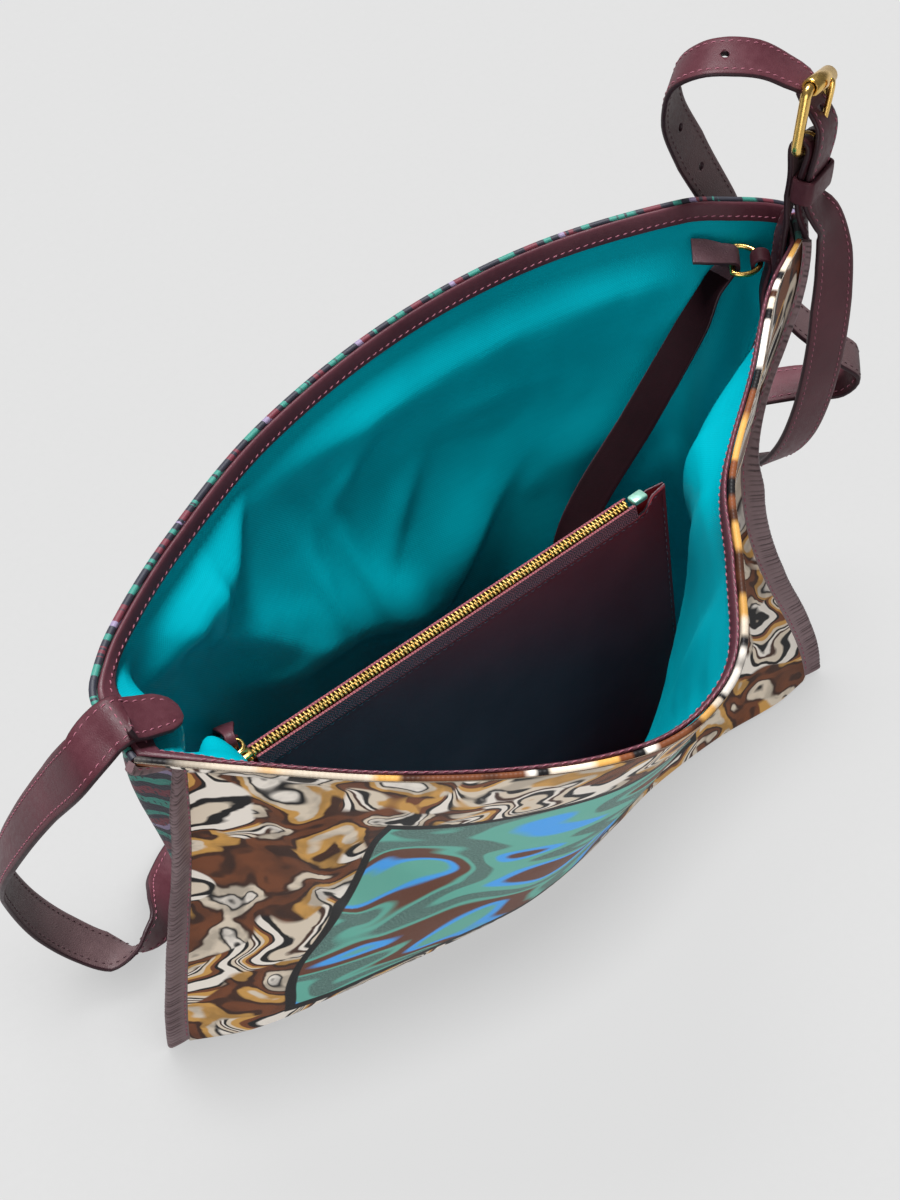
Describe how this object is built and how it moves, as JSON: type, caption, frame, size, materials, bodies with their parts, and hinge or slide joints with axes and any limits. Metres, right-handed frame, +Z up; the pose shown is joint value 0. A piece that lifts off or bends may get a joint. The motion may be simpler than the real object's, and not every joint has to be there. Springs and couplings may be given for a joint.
{
  "type": "shoulder bag",
  "caption": "Open soft shoulder bag with printed outer panels, a bright lining, leather bindings, a buckled strap and a zipped pouch tethered inside.",
  "frame": {"origin": "middle of the flat base, on the ground", "axes": "+Z up out of the mouth, +X along the base towards the buckle end, -Y towards the printed front"},
  "size_m": [0.4325, 0.2203, 0.2734],
  "materials": {
    "print": "smooth printed cloth, marbled in cream, brown, black, teal and blue",
    "stripe": "woven cloth with fine wavy stripes",
    "lining": "plain woven, slight sheen",
    "leather": "smooth dyed leather with stitched edges",
    "pouch_leather": "smooth dark leather",
    "zip_tape": "herringbone tape",
    "brass": "polished",
    "zip_stop": "matt tape"
  },
  "bodies": {
    "root": {"front_panel": "print", "back_panel": "stripe", "lining": "lining", "rim_facing": "leather", "binding_left": "leather", "binding_right": "leather", "shoulder_strap": "leather", "buckle_strap": "leather", "buckle_frame": "brass", "buckle_roller": "brass", "buckle_prong": "brass", "keeper_loop": "leather", "pouch_front": "pouch_leather", "pouch_back": "pouch_leather", "zip_tape_front": "zip_tape", "zip_tape_back": "zip_tape", "zip_chain": "brass", "zip_slider": "brass", "zip_ring": "brass", "zip_pull": "leather", "zip_end": "zip_stop", "tether": "leather", "tether_ring": "brass", "ring_tab": "leather"}
  },
  "joints": []
}
